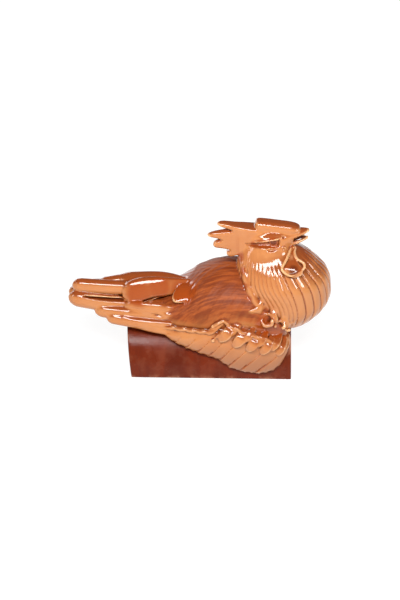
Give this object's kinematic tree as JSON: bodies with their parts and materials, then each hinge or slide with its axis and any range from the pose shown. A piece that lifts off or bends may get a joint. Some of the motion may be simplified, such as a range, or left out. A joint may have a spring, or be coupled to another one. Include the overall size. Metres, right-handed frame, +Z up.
{
  "type": "rooster roof finial",
  "caption": "Glazed ceramic ridge finial: a plump rooster with open beak, lobed comb and long tail, sitting astride a half-round ridge tile.",
  "frame": {"origin": "on the plane of the tile's two bed edges, under the middle of the finial's box", "axes": "+X the way the rooster faces, along the roof ridge; +Y the rooster's left side; +Z up"},
  "size_m": [0.4804, 0.216, 0.2877],
  "materials": {
    "tile_glaze": "dark red-brown clear glaze",
    "rooster_glaze": "honey-brown clear glaze, darker where it pools"
  },
  "bodies": {
    "root": {"ridge_tile": "tile_glaze", "rooster": "rooster_glaze"}
  },
  "joints": []
}
